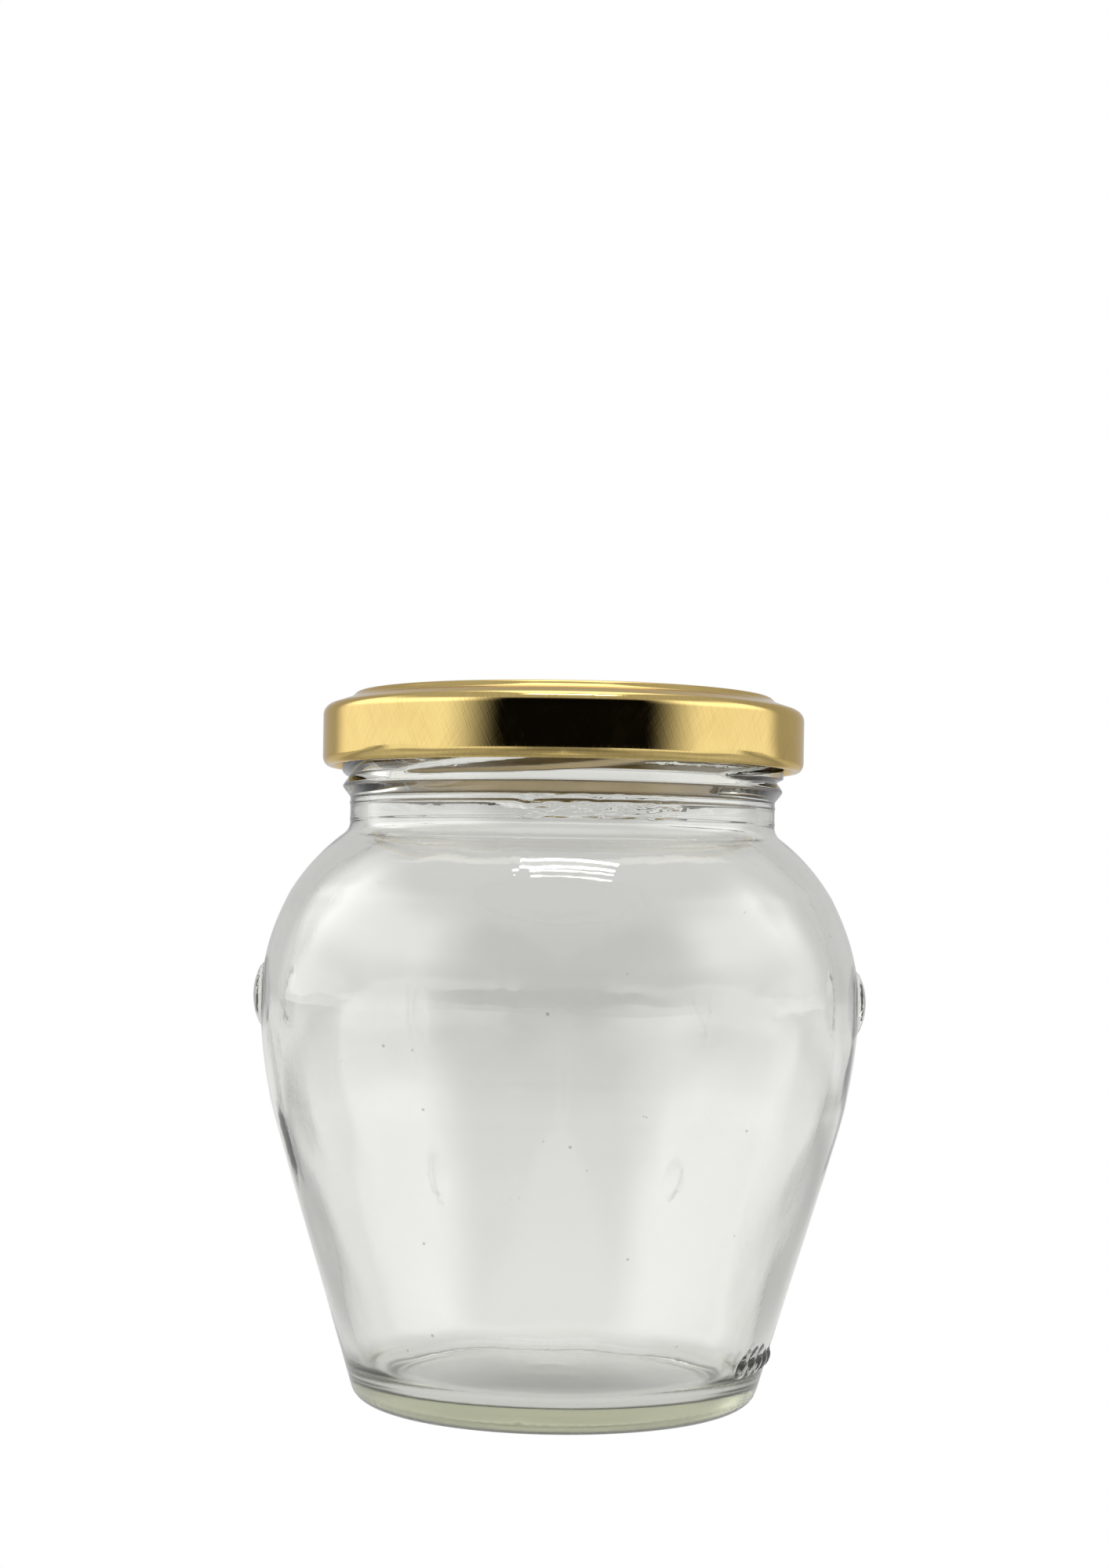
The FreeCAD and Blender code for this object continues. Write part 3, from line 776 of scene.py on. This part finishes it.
def makeFloor():
    bm = bmesh.new()
    bmesh.ops.create_grid(bm, x_segments=1, y_segments=1, size=studio["floorReach"])
    mesh = bpy.data.meshes.new("studioFloor")
    bm.to_mesh(mesh)
    bm.free()
    floor = bpy.data.objects.new("studioFloor", mesh)
    bpy.context.scene.collection.objects.link(floor)
    material = bpy.data.materials.new("paintedLightTable")
    material.use_nodes = True
    tree = material.node_tree
    tree.nodes.clear()
    # the floor glows with painted light and shade for every ray but the camera's
    glow = addNode(tree, "ShaderNodeEmission", None, {
        "Color": (1.0, 1.0, 1.0, 1.0), "Strength": plainForCamera(tree, floorLight(tree))})
    # the table is see-through from below, so the foot can be looked at
    facing = tree.nodes.new("ShaderNodeNewGeometry")
    clear = tree.nodes.new("ShaderNodeBsdfTransparent")
    either = addNode(tree, "ShaderNodeMixShader", None, {
        0: facing.outputs["Backfacing"], 1: glow.outputs[0], 2: clear.outputs[0]})
    put = tree.nodes.new("ShaderNodeOutputMaterial")
    tree.links.new(either.outputs[0], put.inputs["Surface"])
    mesh.materials.append(material)


def makeSurroundings():
    # bright panels at both sides, a dark room in front, a paler wall behind, and a lit ceiling
    s = studio
    world = bpy.data.worlds.new("studio")
    world.use_nodes = True
    tree = world.node_tree
    tree.nodes.clear()
    way = tree.nodes.new("ShaderNodeTexCoord")
    split = addNode(tree, "ShaderNodeSeparateXYZ", None, {0: way.outputs["Generated"]})
    up = split.outputs["Z"]
    turn = mathNode(tree, "ARCTAN2", split.outputs["X"], mathNode(tree, "MULTIPLY", split.outputs["Y"], -1.0))
    degrees = mathNode(tree, "MULTIPLY", turn, 180 / math.pi)
    # the dark room, between the two panels
    offMiddle = mathNode(tree, "ABSOLUTE", mathNode(tree, "SUBTRACT", degrees, s["darkMiddle"]))
    clear = mapRange(tree, offMiddle, s["darkHalf"], s["darkHalf"] + s["darkBlur"], 0.0, 1.0, smooth=True)
    panel = mapRange(tree, up, *s["sidesRise"], s["sides"], s["sidesHigh"], smooth=True)
    sides = blend(tree, clear, s["darkFront"], panel)
    # the wall behind
    offBack = mathNode(tree, "ABSOLUTE", mathNode(tree, "SUBTRACT", degrees, s["backMiddle"]))
    back = mapRange(tree, offBack, s["backStart"], s["backStart"] + s["backBlur"], 0.0, 1.0, smooth=True)
    wall = mapRange(tree, mathNode(tree, "ABSOLUTE", degrees), *s["backTurn"], s["backAside"], s["backdrop"],
                    smooth=True)
    around = blend(tree, back, sides, wall)
    # the ceiling, with a wide lamp set into it
    high = mapRange(tree, up, *s["overheadFrom"], 0.0, 1.0, smooth=True)
    offLamp = mathNode(tree, "ABSOLUTE", mathNode(tree, "SUBTRACT", split.outputs["X"], s["ceilingMiddle"]))
    lamp = mathNode(tree, "MULTIPLY", mapRange(tree, offLamp, *s["ceilingHalf"], 1.0, 0.0, smooth=True),
                    mapRange(tree, split.outputs["Y"], *s["ceilingStart"], 0.0, 1.0, smooth=True))
    above = blend(tree, lamp, s["overhead"], s["ceiling"])
    level = blend(tree, high, around, above)
    glow = addNode(tree, "ShaderNodeBackground", None, {
        "Color": (1.0, 1.0, 1.0, 1.0), "Strength": plainForCamera(tree, level)})
    put = tree.nodes.new("ShaderNodeOutputWorld")
    tree.links.new(glow.outputs[0], put.inputs["Surface"])
    bpy.context.scene.world = world


def makeStrips():
    # two narrow ceiling lamps, almost overhead
    for index, forward in enumerate(studio["stripPlaces"]):
        lamp = bpy.data.lights.new(f"ceilingStrip{index}", "AREA")
        lamp.shape = "RECTANGLE"
        lamp.size, lamp.size_y = studio["stripSize"]
        lamp.energy = studio["stripPower"]
        strip = bpy.data.objects.new(f"ceilingStrip{index}", lamp)
        strip.location = (studio["stripSide"], forward, studio["stripHeight"])
        bpy.context.scene.collection.objects.link(strip)


def makeCamera():
    c = cameraSettings
    data = bpy.data.cameras.new("studioCamera")
    data.lens = c["lens"]
    data.sensor_width = c["sensor"]
    data.sensor_fit = "AUTO"
    data.clip_start = 0.01
    data.shift_y = c["rise"]
    camera = bpy.data.objects.new("studioCamera", data)
    camera.location = c["place"]
    camera.rotation_mode = "XYZ"
    level = Matrix.Rotation(math.radians(90), 4, "X")
    camera.rotation_euler = (level @ Matrix.Rotation(math.radians(c["roll"]), 4, "Z")).to_euler("XYZ")
    bpy.context.scene.collection.objects.link(camera)
    bpy.context.scene.camera = camera


makeGlassJar()
makeLid()
makeSeal()
makeFloor()
makeSurroundings()
makeStrips()
makeCamera()
bpy.context.scene.view_settings.view_transform = "Standard"
print("studio and camera are ready")
